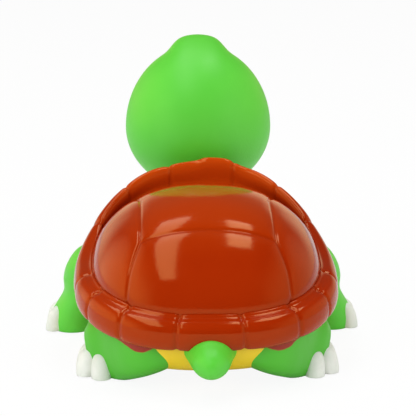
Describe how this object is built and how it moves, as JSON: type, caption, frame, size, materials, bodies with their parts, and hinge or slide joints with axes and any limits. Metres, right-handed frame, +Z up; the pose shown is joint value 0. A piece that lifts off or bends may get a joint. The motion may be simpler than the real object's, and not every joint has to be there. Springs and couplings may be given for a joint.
{
  "type": "squeaky bath toy",
  "caption": "Soft hollow turtle bath toy with a domed brown shell that presses into its rim and blows a reed squeaker set in the belly.",
  "frame": {"origin": "on the floor, at the centre of the toy's footprint", "axes": "+Z up, the toy faces -Y, its left side is +X"},
  "size_m": [0.093, 0.1272, 0.0831],
  "materials": {
    "shell_brown": "glossy brown soft vinyl",
    "skin_green": "satin green soft vinyl",
    "belly_yellow": "satin yellow soft vinyl",
    "claw_white": "off-white paint on soft vinyl",
    "eye_white": "glossy white paint",
    "pupil_black": "glossy black paint",
    "squeaker_plastic": "moulded ivory plastic",
    "reed_film": "thin amber plastic film"
  },
  "bodies": {
    "body": {"shell_rim": "shell_brown", "plastron": "belly_yellow", "head": "skin_green", "eye_left": "eye_white", "eye_right": "eye_white", "pupil_left": "pupil_black", "pupil_right": "pupil_black", "foreleg_left": "skin_green", "foreleg_right": "skin_green", "hindleg_left": "skin_green", "hindleg_right": "skin_green", "foreclaws_left": "claw_white", "foreclaws_right": "claw_white", "hindclaws_left": "claw_white", "hindclaws_right": "claw_white", "tail": "skin_green", "squeaker_housing": "squeaker_plastic", "reed_block": "squeaker_plastic", "reed_clamp": "squeaker_plastic"},
    "dome": {"shell_dome": "shell_brown"},
    "reed": {"squeaker_reed": "reed_film"}
  },
  "joints": [
    {"name": "squeeze", "type": "slide", "parent": "body", "child": "dome", "axis": [0, 0.1392, 0.9903], "range_m": [-0.005, 0], "stiffness_N_per_m": 400, "springref_m": 0.002},
    {"name": "reed_flutter", "type": "hinge", "parent": "body", "child": "reed", "pos_m": [0, 0.01975, 0.0051], "axis": [-1, 0, 0], "range_deg": [0, 5], "stiffness_Nm_per_rad": 0.0001}
  ]
}
